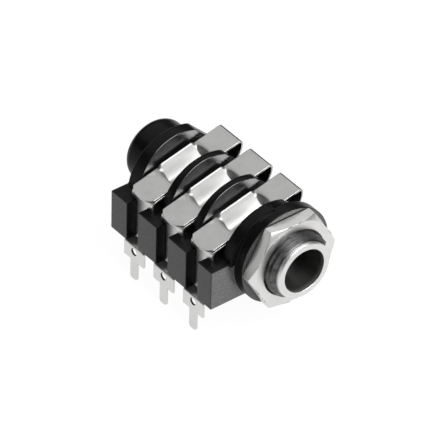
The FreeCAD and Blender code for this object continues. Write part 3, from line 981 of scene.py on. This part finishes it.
def nickel_plate():
    """Satin nickel with clouds and fine scratches, and painted shade that darkens its wall inside
    the mouth.
    """
    surface = Surface("nickel_plate")
    place = surface.place()
    x, y, z = surface.parts(place)
    radius = (x * x + z * z) ** 0.5
    wall = radius.below((BORE + BORE_SKIN) * MM)
    # Painted shade: the wall inside the mouth grows darker from the front inwards.
    deep = surface.node("ShaderNodeMapRange", Value=y,
                        From_Min=-(NOSE_LENGTH + MOUTH_SHADE_FRONT) * MM,
                        From_Max=-(NOSE_LENGTH - MOUTH_SHADE_BEHIND) * MM,
                        To_Min=0.0, To_Max=MOUTH_PAINTED_SHADE)
    cloud = surface.noise(place, scale=500.0)
    scratch = surface.noise(surface.place((3500.0, 700.0, 3500.0)), scale=1.0)
    tone = surface.ramp(cloud, (0.3, (0.72, 0.715, 0.70, 1.0)), (0.7, (0.80, 0.795, 0.78, 1.0)))
    red = surface.parts(tone)[0] * (1.0 - wall * deep)
    nickel = surface.node("ShaderNodeCombineColor", Red=red, Green=0.995 * red, Blue=0.98 * red)
    shader = surface.node("ShaderNodeBsdfPrincipled", Base_Color=nickel, Metallic=1.0,
                          Roughness=0.34 + 0.12 * cloud,
                          Normal=surface.bump(scratch, strength=0.05, distance=0.0001))
    return surface.finish(shader)


def make_floor():
    """Pale floor that shows white to the camera and in reflections."""
    surface = Surface("floor_white")
    ray = surface.node("ShaderNodeLightPath")
    matte = surface.node("ShaderNodeBsdfDiffuse", Color=(0.85, 0.85, 0.85, 1.0))
    glow = surface.node("ShaderNodeEmission", Color=(1.0, 1.0, 1.0, 1.0), Strength=FLOOR_GLOW)
    white = (ray.beside("Is Camera Ray") * FLOOR_SEEN
             + ray.beside("Is Glossy Ray") * FLOOR_MIRRORED
             + ray.beside("Is Transmission Ray") * FLOOR_SEEN)
    material = surface.finish(surface.node("ShaderNodeMixShader", inputs=(white, matte, glow)))
    mesh = bpy.data.meshes.new("floor")
    corners = [(x * FLOOR_HALF, y * FLOOR_HALF, cad_box[0][2])
               for x, y in ((-1, -1), (1, -1), (1, 1), (-1, 1))]
    mesh.from_pydata(corners, [], [(0, 1, 2, 3)])
    floor = add_object("floor", mesh)
    mesh.materials.append(material)


def make_lights():
    """Dim world and soft lamps around the part."""
    world = bpy.data.worlds.new("studio")
    bpy.context.scene.world = world
    world.use_nodes = True
    background = world.node_tree.nodes["Background"]
    background.inputs["Color"].default_value = (WORLD_GREY, WORLD_GREY, WORLD_GREY, 1.0)
    background.inputs["Strength"].default_value = 1.0
    for name, direction, (width, height), brightness in LAMPS:
        data = bpy.data.lights.new(name, "AREA")
        data.shape = "RECTANGLE"
        data.size = width
        data.size_y = height
        data.energy = brightness * math.pi * width * height
        lamp = add_object(name, data)
        away = Vector(direction)
        lamp.location = Vector(ROW_MIDDLE) + away.normalized() * LAMP_DISTANCE
        lamp.rotation_euler = away.to_track_quat("Z", "Y").to_euler()


def make_camera():
    """Camera of the photograph, with the ring contact's row where the picture has it."""
    back = Vector((math.sin(CAMERA_AZIMUTH) * math.cos(CAMERA_ELEVATION),
                   -math.cos(CAMERA_AZIMUTH) * math.cos(CAMERA_ELEVATION),
                   math.sin(CAMERA_ELEVATION)))
    right = Vector((math.cos(CAMERA_AZIMUTH), math.sin(CAMERA_AZIMUTH), 0.0))
    up = back.cross(right)
    rolled_right = math.cos(CAMERA_ROLL) * right + math.sin(CAMERA_ROLL) * up
    rolled_up = math.cos(CAMERA_ROLL) * up - math.sin(CAMERA_ROLL) * right
    aside, lower = [(PICTURE_SIZE / 2 - pixel) / PIXELS_PER_MM * MM for pixel in ROW_MIDDLE_PIXEL]
    data = bpy.data.cameras.new("photo_camera")
    data.sensor_width = SENSOR
    data.lens = SENSOR * PIXELS_PER_MM * (CAMERA_DISTANCE / MM) / PICTURE_SIZE
    data.clip_start, data.clip_end = CAMERA_CLIP
    camera = add_object("photo_camera", data)
    place = (Vector(ROW_MIDDLE) + back * CAMERA_DISTANCE
             + rolled_right * aside - rolled_up * lower)
    axes = Matrix((rolled_right, rolled_up, back)).transposed().to_4x4()
    camera.matrix_world = Matrix.Translation(place) @ axes
    bpy.context.scene.camera = camera


make_camera()
nylon = black_nylon()
tin = plated_strip()
strip_metal = spring_metal()
nickel = nickel_plate()
make_housing(nylon)
make_nose(worn_thread())
make_ferrule(nickel)
make_nut(nickel)
for pole in POLES:
    make_spring(pole, strip_metal)
    make_break_contact(pole, tin)
    make_terminal(pole, tin)
make_floor()
make_lights()
bpy.context.scene.view_settings.view_transform = "Standard"
